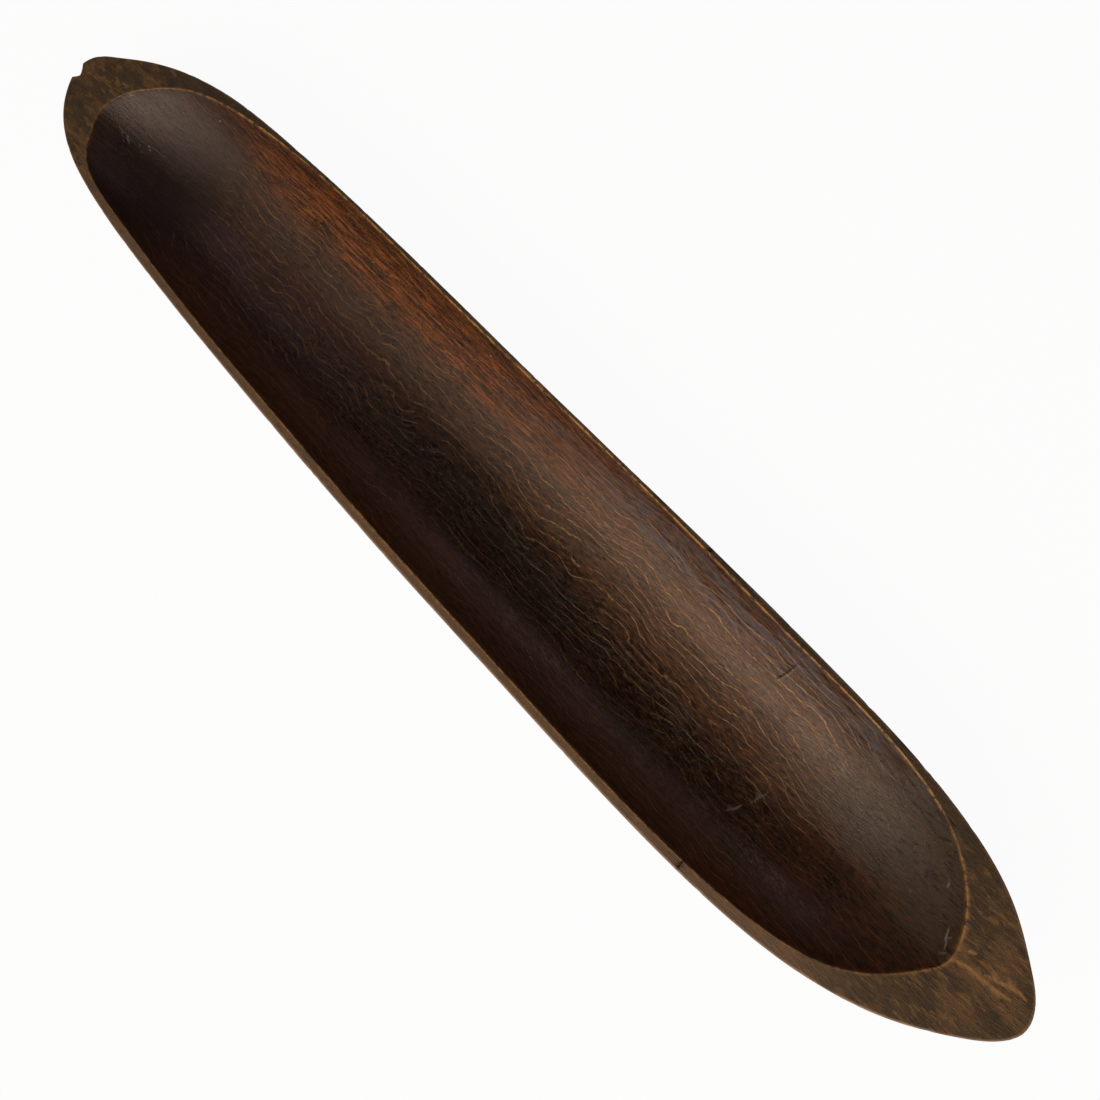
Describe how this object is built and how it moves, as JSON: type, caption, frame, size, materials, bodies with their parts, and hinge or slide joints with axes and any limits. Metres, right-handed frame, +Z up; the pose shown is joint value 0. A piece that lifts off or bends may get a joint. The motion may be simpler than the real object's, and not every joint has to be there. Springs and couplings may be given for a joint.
{
  "type": "wooden tray",
  "caption": "Long canoe-shaped tray hewn from one piece of dark hardwood, with a shallow hollow, a thin worn rim and a solid pointed lug at each end.",
  "frame": {"origin": "on the ground, at the middle of the tray's bounding box", "axes": "+X along the tray to the lug nearer the viewer, +Y across to the side with the thinner rim, +Z up out of the hollow"},
  "size_m": [0.7997, 0.1304, 0.048],
  "materials": {
    "dark_wood": "old hand-rubbed dark brown patina, satin, worn lighter on the rim and the lugs"
  },
  "bodies": {
    "root": {"tray": "dark_wood"}
  },
  "joints": []
}
